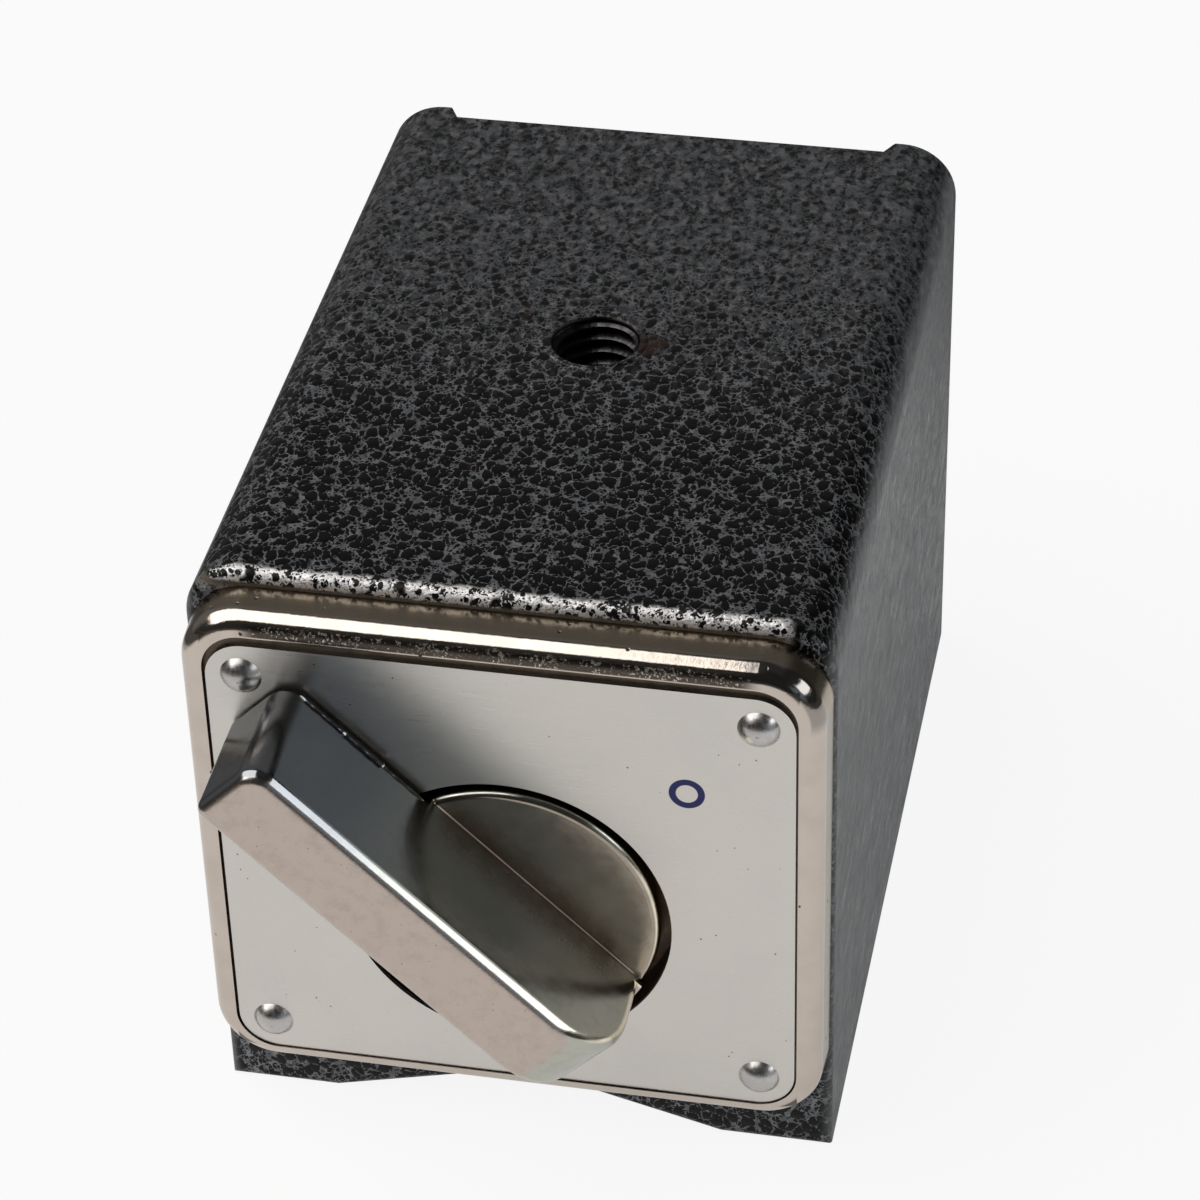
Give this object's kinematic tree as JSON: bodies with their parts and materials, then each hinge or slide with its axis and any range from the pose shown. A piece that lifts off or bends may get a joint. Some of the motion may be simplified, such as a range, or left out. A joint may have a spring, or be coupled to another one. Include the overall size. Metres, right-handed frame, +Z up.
{
  "type": "magnetic base",
  "caption": "Switchable magnetic holding base: painted steel block with a turning lever knob, a threaded hole in the top and a V groove in the sole.",
  "frame": {"origin": "on the plane of the sole, midway across, under the middle of the overall length from the front of the lever to the rear rails", "axes": "+X to the right seen from the lever's side, +Y back along the bore, +Z up from the sole"},
  "size_m": [0.0508, 0.0852, 0.0534],
  "materials": {
    "block_paint": "satin",
    "spacer_brass": "satin",
    "nickel_frame": "polished",
    "plain_steel": "satin",
    "brushed_plate": "satin",
    "rivet_metal": "satin",
    "nickel_knob": "polished",
    "bearing_bronze": "satin",
    "magnet": "matte",
    "soft_iron": "satin",
    "cap_brass": "satin",
    "plug_paint": "satin"
  },
  "bodies": {
    "base": {"left_pole": "block_paint", "right_pole": "block_paint", "top_spacer": "block_paint", "bottom_spacer": "spacer_brass", "front_bezel": "nickel_frame", "bezel_screws": "plain_steel", "face_plate": "brushed_plate", "plate_rivets": "rivet_metal", "spindle_bush": "bearing_bronze", "thrust_washer": "bearing_bronze", "spring_washer": "plain_steel", "stop_pin": "plain_steel", "rear_plug": "plug_paint", "rear_bush": "bearing_bronze"},
    "rotor": {"lever_knob": "nickel_knob", "spindle": "plain_steel", "retaining_clip": "plain_steel", "rotor_magnet": "magnet", "rotor_segment_left": "soft_iron", "rotor_segment_right": "soft_iron", "rotor_front_cap": "cap_brass", "rotor_rear_cap": "cap_brass", "rotor_screws": "plain_steel"}
  },
  "joints": [
    {"name": "lever_turn", "type": "hinge", "parent": "base", "child": "rotor", "pos_m": [0, -0.02798, 0.02505], "axis": [0, 1, 0], "range_deg": [0, 90]}
  ]
}
